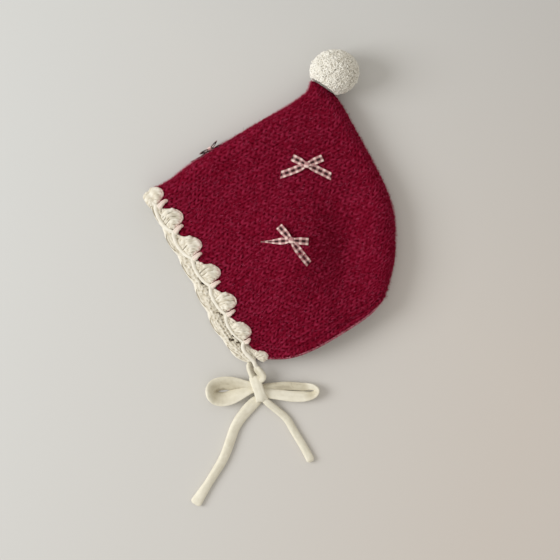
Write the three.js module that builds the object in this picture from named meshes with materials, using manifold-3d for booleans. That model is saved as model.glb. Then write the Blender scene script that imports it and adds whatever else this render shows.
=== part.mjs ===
// A baby's knitted pixie bonnet, folded in half and lying on its side: a hollow hood with a crocheted
// shell edging round the face, a pompom at the peak, three ribbon bows and a tied pair of straps.
// Millimetres, +Z up. The hood rests on z = 0, and the origin is the middle of its flat underside.
import * as THREE from 'three';
import { mergeVertices } from 'three/addons/utils/BufferGeometryUtils.js';
import Module from 'manifold-3d';

const wasm = await Module();
wasm.setup();

// Driving dimensions of the hood.
const faceLength = 171;       // the face edge, folded, from chin to forehead
const hoodDepth = 170;        // from the face edge to the back, along the knitted columns
const wall = 3;               // brushed bulky knit
const loft = 22;              // height of the upper layer over the surface
const foldHeight = 8;         // height at which the two layers meet in the fold and the back
const foldRadius = 12;        // how far in from the fold the upper layer is rounded
const underRadius = 10;       // how far in from the fold the lower layer is rounded
const peakHeight = 14;        // height at which the two layers meet in the peak
const peakReach = 62;         // how far from the peak the layers start to rise to it
const peakLift = 5;           // how far the lower layer is off the surface at the peak
const faceDrop = 2;           // how much lower the upper layer is at the face edge
const faceReach = 45;         // how far in from the face edge it drops
const slipOut = 12;           // how far the lower layer's chin corner shows past the upper one
const slipUp = 8;             // how far it lies towards the forehead
const layAngle = 35.1;        // how far the hood lies turned on the surface, in degrees
const clearance = 0.3;        // gap between pieces that touch
const facetGap = 0.15;        // more of it under the bows, which follow the knit and not its facets

// Driving dimensions of the edging, the pompom, the bows and the tie.
const shellCount = 13;
const shellLength = 17.5;     // across the face edge, from the chain to the round end
const shellWidth = 20;        // along the face edge
const shellThickness = 5.6;
const shellRise = 3.8;        // how far a shell stands off the knit
const chainNeck = 3.4;        // how far the chain lies past the edge between two shells
const chainBulge = 7.6;       // how far it lies past the edge at a shell's middle
const chainRadius = 1.5;
const shellWaist = 0.18;      // how much narrower a shell is at its round end, as a share
const foldShellShift = 6.5;   // how far the shell on the fold lies towards the near chin
const lastShellInset = 9;     // from the last shell's middle to the far chin corner
const stitchRadius = 1.1;     // the long stitches between the shells
const stitchReach = 6;        // how far they reach over the knit
const pompomRadius = 20;
const pompomLocks = 74;
const lockHeight = 2.6;
const lockReach = 12.7;       // the angle from a lock's middle to its rim, seen from the pompom's middle
const pompomOut = 14.5;       // from the pompom's middle to its seat on the hood
const pompomShare = 0.952;    // the seat's place along the back, from the nape to the peak
const pompomAngle = 19;       // the way the pompom stands out, in degrees from the hood's depth
const ribbonWidth = 6;
const ribbonThickness = 0.9;
const bowLoft = 3.4;          // height of a ribbon loop
const tieWidth = 8.5;
const tieThickness = 3.2;
const twistedStrap = 4.4;     // diameter of a strap where it is twisted round
const knotLength = 23;
const knotWidth = 10.5;
const knotHeight = 10.4;
const knotLift = 0.1;
const knotLean = -70.8;       // the way the knot lies, in degrees from +X

// The hood's outline, from the middle of the face edge: depth is a share of hoodDepth and along is a
// share of faceLength, towards the forehead.
const faceRows = [
  { depth: -0.012, along: -0.491 },
  { depth: -0.034, along: -0.4 },
  { depth: -0.034, along: -0.29 },
  { depth: -0.014, along: -0.14 },
  { depth: 0, along: 0.02 },
  { depth: 0, along: 0.25 },
  { depth: 0.008, along: 0.516 },
];
const ridgeRows = [
  { depth: 0.008, along: 0.516 },
  { depth: 0.1, along: 0.503 },
  { depth: 0.25, along: 0.509 },
  { depth: 0.6, along: 0.484 },
  { depth: 0.896, along: 0.464 },
  { depth: 0.94, along: 0.474 },
  { depth: 0.966, along: 0.494 },
  { depth: 0.985, along: 0.492 },
];
const neckRows = [
  { depth: -0.012, along: -0.491 },
  { depth: 0.09, along: -0.556 },
  { depth: 0.206, along: -0.589 },
  { depth: 0.4, along: -0.607 },
  { depth: 0.54, along: -0.608 },
  { depth: 0.644, along: -0.592 },
];
const backRows = [
  { depth: 0.644, along: -0.592 },
  { depth: 0.739, along: -0.518 },
  { depth: 0.86, along: -0.385 },
  { depth: 0.94, along: -0.252 },
  { depth: 0.985, along: -0.06 },
  { depth: 1.015, along: 0.2 },
  { depth: 1.024, along: 0.365 },
  { depth: 1.0, along: 0.462 },
  { depth: 0.985, along: 0.492 },
];

// The crests and dents of the upper layer: where their middle is, their reach along and across a line
// that is turned from the hood's depth, and their rise as a share of the loft.
const reliefRows = [
  { depth: 0.44, along: -0.12, long: 0.27, wide: 0.17, turn: 55, rise: 0.34 },
  { depth: 0.62, along: -0.275, long: 0.21, wide: 0.115, turn: 55, rise: -0.42 },
  { depth: 0.77, along: -0.33, long: 0.24, wide: 0.08, turn: 62, rise: 0.2 },
  { depth: 0.22, along: 0.33, long: 0.22, wide: 0.12, turn: 10, rise: -0.08 },
  { depth: -0.03, along: -0.52, long: 0.2, wide: 0.2, turn: 0, rise: -0.24 },
];

// A curve through the rows of an outline, by its share of length, carried straight on past its ends.
function outlineCurve(rows) {
  const points = rows.map((row) => new THREE.Vector3(row.depth * hoodDepth, row.along * faceLength, 0));
  const curve = new THREE.CatmullRomCurve3(points, false, 'centripetal');
  const length = curve.getLength();
  return (share) => {
    const inside = Math.min(Math.max(share, 0), 1);
    const point = curve.getPointAt(inside);
    return point.addScaledVector(curve.getTangentAt(inside), (share - inside) * length);
  };
}

const face = outlineCurve(faceRows);
const ridge = outlineCurve(ridgeRows);
const neck = outlineCurve(neckRows);
const back = outlineCurve(backRows);
const chin = face(0);
const forehead = face(1);
const nape = neck(1);
const peak = ridge(1);

// Plan of a layer. across runs from the face edge (0) to the back (1), and up from the neck edge (0) to
// the ridge (1). The lower layer has slipped at the chin.
function planPoint(layer, across, up) {
  const point = new THREE.Vector3()
    .addScaledVector(face(up), 1 - across)
    .addScaledVector(back(up), across)
    .addScaledVector(neck(across), 1 - up)
    .addScaledVector(ridge(across), up)
    .addScaledVector(chin, -(1 - across) * (1 - up))
    .addScaledVector(nape, -across * (1 - up))
    .addScaledVector(forehead, -(1 - across) * up)
    .addScaledVector(peak, -across * up);
  if (layer === 'upper') return point;
  const slip = (1 - across) ** 2 * (1 - up * up);
  return point.add(new THREE.Vector3(-slipOut * slip, slipUp * slip, 0));
}

function smooth(value) {
  const x = Math.min(Math.max(value, 0), 1);
  return x * x * (3 - 2 * x);
}

// A quarter of an ellipse: 0 at the rim and 1 from the radius on.
function roundOver(distance, radius) {
  const x = Math.min(Math.max(distance / radius, 0), 1);
  return Math.sqrt(1 - (1 - x) ** 2);
}

function nearPeak(point) {
  return smooth(1 - Math.hypot(point.x - peak.x, point.y - peak.y) / peakReach);
}

function upperHeight(point) {
  let height = loft - faceDrop * smooth(1 - point.x / faceReach);
  for (const row of reliefRows) {
    const turn = THREE.MathUtils.degToRad(row.turn);
    const dx = point.x - row.depth * hoodDepth;
    const dy = point.y - row.along * faceLength;
    const along = (dx * Math.cos(turn) + dy * Math.sin(turn)) / (row.long * faceLength);
    const across = (dy * Math.cos(turn) - dx * Math.sin(turn)) / (row.wide * faceLength);
    height += row.rise * loft * Math.exp(-(along ** 2) - across ** 2);
  }
  return height;
}

// The lower layer lies on the shells at the face edge, and on the surface behind them.
function lowerHeight(point, across, depth) {
  const shells = shellRise * smooth(1.5 - (across * depth) / shellLength);
  return Math.max(shells, peakLift * nearPeak(point));
}

// A point of the knit, inward from its outer face; a negative inward is off it.
function knitPoint(layer, across, up, inward) {
  const depth = face(up).distanceTo(back(up));
  const height = neck(across).distanceTo(ridge(across));
  const point = planPoint(layer, across * (1 - inward / depth), up * (1 - inward / height));
  const radius = layer === 'upper' ? foldRadius : underRadius;
  const roundness = roundOver((1 - across) * (depth - inward), radius - inward)
    * roundOver((1 - up) * (height - inward), radius - inward);
  const middle = foldHeight + (peakHeight - foldHeight) * nearPeak(point);
  const level = layer === 'upper' ? upperHeight(point) - inward : lowerHeight(point, across, depth) + inward;
  point.z = middle + (level - middle) * roundness;
  return point;
}

// Shares from 0 to 1 that close up in quarter-circle steps towards 1, over a length.
function sharesTo(length, even, rounded) {
  const shares = [];
  for (let i = 0; i < even; i += 1) shares.push((i / even) * (1 - foldRadius / length));
  for (let i = rounded; i >= 0; i -= 1) {
    shares.push(1 - (foldRadius / length) * (1 - Math.cos((i / rounded) * Math.PI / 2)));
  }
  return shares;
}

// The hood's wall as one closed mesh, its faces moved out by grow on both sides.
function hoodWall(grow) {
  const acrossShares = sharesTo(hoodDepth, 12, 4);
  const upShares = sharesTo(faceLength, 13, 4);
  const last = acrossShares.length - 1;
  const top = upShares.length - 1;
  const positions = [];
  const indices = [];
  const skins = { outer: -grow, inner: wall + grow };
  const numbers = {};
  const vertex = (skin, layer, i, j) => {
    const shared = i === last || j === top ? 'upper' : layer;
    const key = `${skin} ${shared} ${i} ${j}`;
    if (!(key in numbers)) {
      const start = i === 0 ? -grow / hoodDepth : acrossShares[i];
      const bottom = j === 0 ? -grow / faceLength : upShares[j];
      numbers[key] = positions.length / 3;
      positions.push(...knitPoint(shared, start, bottom, skins[skin]).toArray());
    }
    return numbers[key];
  };
  const quad = (a, b, c, d, flip) => {
    if (flip) indices.push(a, c, b, a, d, c);
    else indices.push(a, b, c, a, c, d);
  };
  for (const skin of ['outer', 'inner']) {
    for (const layer of ['upper', 'lower']) {
      for (let i = 0; i < last; i += 1) {
        for (let j = 0; j < top; j += 1) {
          quad(
            vertex(skin, layer, i, j), vertex(skin, layer, i + 1, j),
            vertex(skin, layer, i + 1, j + 1), vertex(skin, layer, i, j + 1),
            (skin === 'outer') === (layer === 'lower'),
          );
        }
      }
    }
  }
  for (const layer of ['upper', 'lower']) {
    const flip = layer === 'lower';
    for (let j = 0; j < top; j += 1) {
      quad(
        vertex('outer', layer, 0, j), vertex('outer', layer, 0, j + 1),
        vertex('inner', layer, 0, j + 1), vertex('inner', layer, 0, j), flip,
      );
    }
    for (let i = 0; i < last; i += 1) {
      quad(
        vertex('outer', layer, i + 1, 0), vertex('outer', layer, i, 0),
        vertex('inner', layer, i, 0), vertex('inner', layer, i + 1, 0), flip,
      );
    }
  }
  const geometry = new THREE.BufferGeometry();
  geometry.setAttribute('position', new THREE.Float32BufferAttribute(positions, 3));
  geometry.setIndex(indices);
  return geometry;
}

// Closed solids for joining and cutting.
function solidOf(geometry) {
  const bare = geometry.clone();
  bare.deleteAttribute('normal');
  bare.deleteAttribute('uv');
  const merged = mergeVertices(bare, 1e-4);
  return new wasm.Manifold(new wasm.Mesh({
    numProp: 3,
    vertProperties: new Float32Array(merged.attributes.position.array),
    triVerts: new Uint32Array(merged.index.array),
  }));
}

function geometryOf(solid) {
  const mesh = solid.getMesh();
  const geometry = new THREE.BufferGeometry();
  geometry.setAttribute('position', new THREE.Float32BufferAttribute(mesh.vertProperties, 3));
  geometry.setIndex(Array.from(mesh.triVerts));
  return geometry;
}

function joined(geometries) {
  return geometries.map(solidOf).reduce((whole, piece) => whole.add(piece));
}

// Moves each vertex of a geometry by a function of its place.
function mapped(geometry, place) {
  const position = geometry.attributes.position;
  const point = new THREE.Vector3();
  for (let i = 0; i < position.count; i += 1) {
    point.fromBufferAttribute(position, i);
    place(point);
    position.setXYZ(i, point.x, point.y, point.z);
  }
  return geometry;
}

// An oval section swept along a smooth curve through points.
function sweptTube(points, across, through, sides, steps) {
  const section = new THREE.Shape();
  for (let i = 0; i < sides; i += 1) {
    const angle = (i / sides) * 2 * Math.PI;
    const x = (through / 2) * Math.cos(angle);
    const y = (across / 2) * Math.sin(angle);
    if (i === 0) section.moveTo(x, y);
    else section.lineTo(x, y);
  }
  section.closePath();
  return new THREE.ExtrudeGeometry(section, {
    steps, bevelEnabled: false, extrudePath: new THREE.CatmullRomCurve3(points, false, 'centripetal'),
  });
}

// The face edge as one run, from the near chin over the forehead fold to the far chin.
function faceEdge() {
  const stops = [];
  const steps = 120;
  let length = 0;
  let before = null;
  for (let i = 0; i <= 2 * steps; i += 1) {
    const layer = i <= steps ? 'upper' : 'lower';
    const up = 1 - (1 - i / steps) ** 2;
    const point = knitPoint(layer, 0, up, wall / 2);
    if (before) length += point.distanceTo(before);
    before = point;
    stops.push({ layer, up, length });
  }
  return stops;
}

const edgeStops = faceEdge();
const edgeLength = edgeStops[edgeStops.length - 1].length;

// A point by its distance along the face edge, in from the edge and off the knit's outer face. Past the
// edge it lies straight out from it.
function edgePoint(along, inFromEdge, off) {
  const next = Math.max(edgeStops.findIndex((stop) => stop.length >= along), 1);
  const a = edgeStops[along > edgeLength ? edgeStops.length - 2 : next - 1];
  const b = edgeStops[along > edgeLength ? edgeStops.length - 1 : next];
  const share = (along - a.length) / (b.length - a.length);
  const up = a.up + (b.up - a.up) * share;
  const point = knitPoint(b.layer, Math.max(inFromEdge, 0) / hoodDepth, up, -off);
  if (inFromEdge < 0) {
    const ahead = planPoint(b.layer, 0, up + 0.01).sub(planPoint(b.layer, 0, up - 0.01)).normalize();
    point.x += inFromEdge * ahead.y;
    point.y -= inFromEdge * ahead.x;
  }
  return point;
}

// A shell's middle along the face edge, by its number. The halves are the places between two shells.
function shellMiddle(number) {
  const onFold = (shellCount - 1) / 2;
  const foldMiddle = edgeLength / 2 - foldShellShift;
  const nearPitch = edgeLength / shellCount;
  const farPitch = (edgeLength - lastShellInset - foldMiddle) / onFold;
  return foldMiddle + (number - onFold) * (number < onFold ? nearPitch : farPitch);
}

// The edging: shells and long stitches on one chain, cut back to its gap round the knit.
function edgingSolid() {
  const pieces = [];
  const chainPoints = [];
  const perShell = 4;
  for (let i = -1; i < (shellCount - 1) * perShell + 2; i += 1) {
    const wave = Math.cos((i / perShell) * 2 * Math.PI);
    const reach = (chainBulge + chainNeck) / 2 + wave * (chainBulge - chainNeck) / 2;
    chainPoints.push(edgePoint(shellMiddle(i / perShell), -reach, -wall / 2));
  }
  pieces.push(sweptTube(chainPoints, 2 * chainRadius, 2 * chainRadius, 5, shellCount * 5));
  for (let i = 0; i < shellCount; i += 1) {
    const middle = shellMiddle(i);
    pieces.push(mapped(new THREE.SphereGeometry(1, 9, 6), (point) => {
      const waist = 1 - shellWaist * point.x;
      const rise = shellRise - shellThickness / 2;
      const middleOff = rise - (rise + wall / 2) * smooth(-point.x);
      point.copy(edgePoint(
        middle + point.y * waist * shellWidth / 2,
        shellLength / 2 - chainBulge - chainRadius / 2 + point.x * shellLength / 2,
        middleOff + point.z * shellThickness / 2,
      ));
    }));
  }
  const stitchOff = stitchRadius + clearance;
  for (let i = 1; i < shellCount; i += 1) {
    const between = shellMiddle(i - 0.5);
    const stitch = [
      edgePoint(between, -chainNeck, -wall / 2),
      edgePoint(between, 0, stitchOff),
      edgePoint(between, stitchReach, stitchOff),
    ];
    pieces.push(sweptTube(stitch, 2 * stitchRadius, 2 * stitchRadius, 4, 3));
  }
  return joined(pieces).subtract(solidOf(hoodWall(clearance)));
}

// The pompom: a ball of blunt locks, flat where it rests and where it is sewn to the hood.
function pompomGeometry() {
  const locks = [];
  const golden = Math.PI * (3 - Math.sqrt(5));
  for (let i = 0; i < pompomLocks; i += 1) {
    const z = 1 - (2 * i + 1) / pompomLocks;
    const ring = Math.sqrt(1 - z * z);
    locks.push(new THREE.Vector3(ring * Math.cos(i * golden), ring * Math.sin(i * golden), z));
  }
  const lockAngle = THREE.MathUtils.degToRad(lockReach);
  const seatAngle = THREE.MathUtils.degToRad(pompomAngle);
  const outward = new THREE.Vector3(Math.cos(seatAngle), Math.sin(seatAngle), 0);
  const seat = back(pompomShare);
  const centre = seat.clone().addScaledVector(outward, pompomOut);
  centre.z = pompomRadius - clearance;
  return mapped(new THREE.IcosahedronGeometry(1, 6), (point) => {
    const nearest = Math.min(...locks.map((lock) => lock.angleTo(point)));
    const bump = Math.max(0, 1 - (nearest / lockAngle) ** 2);
    point.multiplyScalar(pompomRadius - lockHeight + lockHeight * bump).add(centre);
    const behind = (seat.x - point.x) * outward.x + (seat.y - point.y) * outward.y + clearance;
    if (behind > 0) point.addScaledVector(outward, behind);
    point.z = Math.max(point.z, 0);
  });
}

// A bow of ribbon loops and ends round a small knot. Each row is turned in the bow's plane, lifted off
// it, and long as a share of the ribbon's width.
function bowSolid(rows) {
  const pieces = rows.map((row) => {
    const length = row.length * ribbonWidth;
    const profile = new THREE.Shape();
    const thickness = ribbonThickness;
    const steps = 4;
    if (row.kind === 'loop') {
      const radius = bowLoft / 2;
      profile.moveTo(0, 0);
      for (let i = 1; i <= steps; i += 1) profile.lineTo(((length - radius) * i) / steps, 0);
      profile.absarc(length - radius, radius, radius, -Math.PI / 2, Math.PI / 2, false);
      for (let i = steps; i >= 0; i -= 1) profile.lineTo(((length - radius) * i) / steps, bowLoft);
      profile.closePath();
      const hole = new THREE.Path();
      const inner = radius - thickness;
      hole.moveTo(ribbonWidth / 3, thickness);
      hole.lineTo(length - radius, thickness);
      hole.absarc(length - radius, radius, inner, -Math.PI / 2, Math.PI / 2, false);
      hole.lineTo(ribbonWidth / 3, bowLoft - thickness);
      hole.closePath();
      profile.holes.push(hole);
    } else {
      profile.moveTo(0, 0);
      for (let i = 1; i <= steps; i += 1) profile.lineTo((length * i) / steps, 0);
      for (let i = steps; i >= 0; i -= 1) profile.lineTo((length * i) / steps, thickness);
      profile.closePath();
    }
    const width = ribbonWidth * (row.width ?? 1);
    const piece = new THREE.ExtrudeGeometry(profile, {
      depth: width, steps: 1, bevelEnabled: false, curveSegments: 4,
    });
    piece.translate(0, 0, -width / 2);
    piece.rotateX(Math.PI / 2);
    piece.rotateY(-THREE.MathUtils.degToRad(row.lift ?? 0));
    piece.rotateZ(THREE.MathUtils.degToRad(row.turn));
    return piece;
  });
  const knot = mapped(new THREE.SphereGeometry(1, 8, 6), (point) => {
    point.set(point.x * ribbonWidth * 0.42, point.y * ribbonWidth * 0.5, (point.z * 0.55 + 0.5) * bowLoft);
    point.z = Math.max(point.z, 0);
  });
  return joined([...pieces, knot]);
}

// Lays a bow on the upper layer, following its height. Its rows are turned from +X of the whole object.
function bowOnKnit(rows, place) {
  const geometry = geometryOf(bowSolid(rows));
  geometry.rotateZ(-THREE.MathUtils.degToRad(layAngle));
  return mapped(geometry, (point) => {
    point.x += place.depth * hoodDepth;
    point.y += place.along * faceLength;
    point.z += upperHeight(point) + clearance + facetGap;
  });
}

// Sets a bow on the fold, facing outward from it.
function bowOnFold(rows, across) {
  const seat = knitPoint('upper', across, 1, 0);
  const ahead = knitPoint('upper', across + 0.05, 1, 0);
  const alongFold = Math.atan2(ahead.y - seat.y, ahead.x - seat.x);
  const geometry = geometryOf(bowSolid(rows));
  geometry.rotateX(-Math.PI / 2);
  geometry.rotateZ(alongFold);
  geometry.translate(seat.x - clearance * Math.sin(alongFold), seat.y + clearance * Math.cos(alongFold), seat.z);
  return geometry;
}

const upperBowRows = [
  { kind: 'tail', turn: 202, length: 3.9 },
  { kind: 'tail', turn: -24, length: 3.75 },
  { kind: 'loop', turn: 153, length: 2.3 },
  { kind: 'loop', turn: 24, length: 2.5 },
];
const lowerBowRows = [
  { kind: 'tail', turn: 183, length: 4.3, width: 0.55 },
  { kind: 'tail', turn: -53, length: 4.1 },
  { kind: 'loop', turn: 131, length: 2.6 },
  { kind: 'loop', turn: -4, length: 2.4 },
];
const ridgeBowRows = [
  { kind: 'tail', turn: 172, length: 3.2 },
  { kind: 'tail', turn: -8, length: 2.8 },
  { kind: 'loop', turn: 190, length: 1.9 },
  { kind: 'loop', turn: 4, length: 2.1, lift: 24 },
];

// The tie's route, from the upper layer's chin corner and over the surface. Each stretch starts or ends
// inside the knot, and is cut back to its gap round it.
const tieRoutes = {
  strapLeft: [
    [-15.2, -3.9, 4.9], [-14.9, -8, 4.6], [-14.1, -12.2, 4.5], [-12.1, -16.1, 4.9], [-8.7, -21.3, 5.4],
  ],
  strapRight: [
    [-7.8, -6.8, 12.6], [-5, -9.3, 11.6], [-2, -12.2, 10.6], [0.1, -15.4, 9.7], [-0.3, -18.4, 8.9],
    [-3.7, -20, 8.2], [-6.9, -21.1, 7.4],
  ],
  loopLeft: [
    [-5.6, -24.9, 4.6], [-13.1, -22.9, 4.6], [-23.1, -19.9, 4.5], [-35.5, -18.7, 4.4], [-45.5, -21.7, 4.4],
    [-49.5, -29.3, 4.4], [-45.7, -37.1, 4.4], [-35.7, -39.7, 4.4], [-23.7, -35.7, 4.5], [-13.1, -29.1, 4.6],
    [-6.6, -27.1, 4.6],
  ],
  loopRight: [
    [-5.6, -27.1, 4.8], [0.9, -28.9, 4.8], [10.9, -30.5, 4.6], [23.9, -32.9, 4.4], [34.9, -34.1, 4.4],
    [43.5, -32.7, 4.4], [46.3, -28.3, 4.4], [42.3, -24.5, 4.4], [30.9, -23.5, 4.4], [16.9, -22.7, 4.5],
    [2.9, -24.3, 4.6], [-5.6, -25.7, 4.8],
  ],
  tailLeft: [
    [-3.7, -33.7, 2.2], [-9.5, -39.1, 1.8], [-18, -48.5, 1.7], [-25.4, -59.5, 1.7], [-30, -72.7, 1.7],
    [-35, -85.9, 1.7], [-44.7, -102.2, 1.7], [-60, -126.2, 1.7],
  ],
  tailRight: [
    [-2.3, -34.7, 6.2], [3.7, -39.9, 5.2], [11.5, -46.3, 2.9], [19, -52.9, 1.7], [24.1, -62.1, 1.7],
    [30, -71.7, 1.7], [35.3, -80.7, 1.7], [39.8, -89.7, 1.7],
  ],
};

const knotPlace = { x: -5.6, y: -26.7 };

function tieKnot(grow) {
  return mapped(new THREE.SphereGeometry(1, 14, 9), (point) => {
    const lean = THREE.MathUtils.degToRad(knotLean);
    const x = point.x * (knotLength / 2 + grow);
    const y = point.y * (knotWidth / 2 + grow);
    point.set(
      knotPlace.x + x * Math.cos(lean) - y * Math.sin(lean),
      knotPlace.y + x * Math.sin(lean) + y * Math.cos(lean),
      knotLift + knotHeight / 2 + point.z * (knotHeight / 2 + grow),
    );
  });
}

function tieStretch(route, across, through, steps) {
  const points = route.map((place) => new THREE.Vector3(...place));
  const tube = solidOf(sweptTube(points, across, through, 8, steps));
  return geometryOf(tube.subtract(solidOf(tieKnot(clearance))));
}

// Materials.
const crimsonKnit = new THREE.MeshStandardMaterial({ color: 0x7d1026, roughness: 0.95, metalness: 0 });
const creamYarn = new THREE.MeshStandardMaterial({ color: 0xece6d2, roughness: 0.9, metalness: 0 });
const creamFluff = new THREE.MeshStandardMaterial({ color: 0xefecdf, roughness: 1, metalness: 0 });
const checkedRibbon = new THREE.MeshStandardMaterial({ color: 0xcbb3ad, roughness: 0.7, metalness: 0 });

function piece(name, geometry, material) {
  const mesh = new THREE.Mesh(geometry, material);
  mesh.name = name;
  return mesh;
}

// The hood lies turned about its middle. The tie starts at its chin corner, and isn't turned with it.
const hood = new THREE.Group();
hood.add(piece('crown', hoodWall(0), crimsonKnit));
hood.add(piece('scallop_edging', geometryOf(edgingSolid()), creamYarn));
hood.add(piece('pompom', pompomGeometry(), creamFluff));
hood.add(piece('bow_upper', bowOnKnit(upperBowRows, { depth: 0.715, along: 0.178 }), checkedRibbon));
hood.add(piece('bow_lower', bowOnKnit(lowerBowRows, { depth: 0.441, along: -0.086 }), checkedRibbon));
hood.add(piece('bow_ridge', bowOnFold(ridgeBowRows, 0.36), checkedRibbon));
hood.rotation.z = THREE.MathUtils.degToRad(layAngle);
hood.position.set(-hoodDepth / 2, 0, 0).applyEuler(hood.rotation);

const tie = new THREE.Group();
tie.position.copy(planPoint('upper', 0, 0)).applyEuler(hood.rotation).add(hood.position);
tie.add(piece('tie_strap_left', tieStretch(tieRoutes.strapLeft, twistedStrap, twistedStrap, 6), creamYarn));
tie.add(piece('tie_strap_right', tieStretch(tieRoutes.strapRight, twistedStrap, twistedStrap, 10), creamYarn));
tie.add(piece('tie_knot', tieKnot(0), creamYarn));
tie.add(piece('tie_loop_left', tieStretch(tieRoutes.loopLeft, tieThickness, tieWidth, 22), creamYarn));
tie.add(piece('tie_loop_right', tieStretch(tieRoutes.loopRight, tieThickness, tieWidth, 24), creamYarn));
tie.add(piece('tie_tail_left', tieStretch(tieRoutes.tailLeft, tieWidth, tieThickness, 14), creamYarn));
tie.add(piece('tie_tail_right', tieStretch(tieRoutes.tailRight, tieWidth, tieThickness, 12), creamYarn));

const bonnet = new THREE.Group();
bonnet.add(hood, tie);
export default bonnet;
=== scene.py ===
# A baby's knitted pixie bonnet, folded in half and lying on its side, seen from above.
# The model's sizes are in millimetres, and Blender's are in metres.
import math
import bpy
import numpy as np
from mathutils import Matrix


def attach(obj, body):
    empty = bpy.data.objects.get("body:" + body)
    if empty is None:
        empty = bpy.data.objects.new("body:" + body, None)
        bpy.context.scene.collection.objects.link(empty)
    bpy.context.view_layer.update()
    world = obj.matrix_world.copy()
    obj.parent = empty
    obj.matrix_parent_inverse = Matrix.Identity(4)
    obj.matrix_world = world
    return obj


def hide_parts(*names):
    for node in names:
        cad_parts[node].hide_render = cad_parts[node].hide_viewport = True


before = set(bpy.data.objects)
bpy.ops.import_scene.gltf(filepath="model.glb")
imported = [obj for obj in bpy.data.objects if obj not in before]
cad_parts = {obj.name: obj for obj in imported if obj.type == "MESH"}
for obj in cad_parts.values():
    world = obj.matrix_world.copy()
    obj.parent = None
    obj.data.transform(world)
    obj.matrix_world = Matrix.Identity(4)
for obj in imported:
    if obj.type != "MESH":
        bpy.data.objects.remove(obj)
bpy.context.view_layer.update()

MM = 0.001
UP = np.array([0, 0, 1.0])
rng = np.random.default_rng(11)

# The hood, as the frame has it.
FACE_LENGTH = 171.0
HOOD_DEPTH = 170.0
WALL = 3.0
LOFT = 22.0
FOLD_HEIGHT = 8.0
FOLD_RADIUS = 12.0
UNDER_RADIUS = 10.0
PEAK_HEIGHT = 14.0
PEAK_REACH = 62.0
PEAK_LIFT = 5.0
FACE_DROP = 2.0
FACE_REACH = 45.0
SLIP_OUT = 12.0
SLIP_UP = 8.0
LAY_ANGLE = math.radians(35.1)

# The edging, the pompom and the bows.
SHELL_COUNT = 13
SHELL_LENGTH = 17.5
STITCH_REACH = 6.0
SHELL_RISE = 3.8
CHAIN_NECK = 3.4
CHAIN_BULGE = 7.6
FIRST_SHELL_INSET = 6.5
LAST_SHELL_INSET = 8.5
POMPOM_RADIUS = 20.0
POMPOM_OUT = 14.5
POMPOM_SHARE = 0.952
POMPOM_ANGLE = math.radians(19)
# How far the pompom's flat side goes past its seat, and how it stretches across and along the object.
POMPOM_PRESS = 0.8
POMPOM_STRETCH = (1.06, 0.97, 1.0)
CURL_COUNT = 2100
# The pompom's side away from the window, in the hood's own place, where its curls get painted shade.
POMPOM_SHADED_SIDE = np.array([math.cos(LAY_ANGLE), -math.sin(LAY_ANGLE), 0])
RIBBON_WIDTH = 6.0
RIBBON_THICKNESS = 0.35
RIBBON_STEP = 5.6
FULL_WEAVE = (0.01, 0.99)
CHECK_SOFTNESS = 0.06
LOOP_RISE = 2.7
GAP = 0.45

# The knit: one stitch is a wale wide and a row long.
WALE = 5.6
ROW = 4.8
KNIT_SPACING = 0.7
# The hem's ribs: the width of one, and how far they reach from the neck.
HEM_RIB = 6.2
HEM_REACH = 17
# How many loose fibres the upper and the lower layer have.
FUZZ_COUNTS = ((True, 16000), (False, 6000))

# The photograph: where its middle falls on the surface, the width it shows, and the camera's height.
PHOTO_MIDDLE = (-0.0100, -0.0527)
PHOTO_WIDTH = 0.476
CAMERA_HEIGHT = 1.2
HOOD_LEVEL = 0.012

# The floor's reach from the middle, and the light: a round window and the room's own light.
FLOOR_REACH = 4.0
WINDOW_PLACE = (-1.4, 0.04, 0.98)
WINDOW_SIZE = 1.0
WINDOW_POWER = 17.5
ROOM_LIGHT = 0.62

# The hood's outline: depth is a share of HOOD_DEPTH, along is a share of FACE_LENGTH.
FACE_ROWS = [(-0.012, -0.491), (-0.034, -0.4), (-0.034, -0.29), (-0.014, -0.14), (0, 0.02), (0, 0.25),
             (0.008, 0.516)]
RIDGE_ROWS = [(0.008, 0.516), (0.1, 0.503), (0.25, 0.509), (0.6, 0.484), (0.896, 0.464), (0.94, 0.474),
              (0.966, 0.494), (0.985, 0.492)]
NECK_ROWS = [(-0.012, -0.491), (0.09, -0.556), (0.206, -0.589), (0.4, -0.607), (0.54, -0.608),
             (0.644, -0.592)]
BACK_ROWS = [(0.644, -0.592), (0.739, -0.518), (0.86, -0.385), (0.94, -0.252), (0.985, -0.06), (1.015, 0.2),
             (1.024, 0.365), (1.0, 0.462), (0.985, 0.492)]

# Crests and dents of the upper layer: depth, along, long, wide, turn in degrees, rise.
RELIEF_ROWS = [(0.44, -0.12, 0.27, 0.17, 55, 0.34), (0.62, -0.275, 0.21, 0.115, 55, -0.42),
               (0.77, -0.33, 0.24, 0.08, 62, 0.2), (0.22, 0.33, 0.22, 0.12, 10, -0.08),
               (-0.03, -0.52, 0.2, 0.2, 0, -0.24)]


# Small tools

def smooth(value):
    x = np.clip(value, 0, 1)
    return x * x * (3 - 2 * x)


def unit(vectors):
    return vectors / np.maximum(np.linalg.norm(vectors, axis=-1, keepdims=True), 1e-9)


def heading(angle):
    return np.array([math.cos(angle), math.sin(angle), 0])


def turned(x, y, angle):
    c, s = math.cos(angle), math.sin(angle)
    return x * c - y * s, x * s + y * c


def round_turn(count):
    """That many angles at even steps round a full turn."""
    return np.linspace(0, 2 * math.pi, count, endpoint=False)


def between_rows(at, run, rows):
    """The rows' values at places along a run."""
    return np.stack([np.interp(at, run, rows[:, k]) for k in range(rows.shape[1])], -1)


def no_lower(points, least):
    """Lifts the points that are lower than that."""
    points[..., 2] = np.maximum(points[..., 2], least)
    return points


def lengths_along(points):
    steps = np.linalg.norm(np.diff(points, axis=0), axis=-1)
    return np.concatenate([np.zeros((1,) + steps.shape[1:]), np.cumsum(steps, axis=0)])


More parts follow.
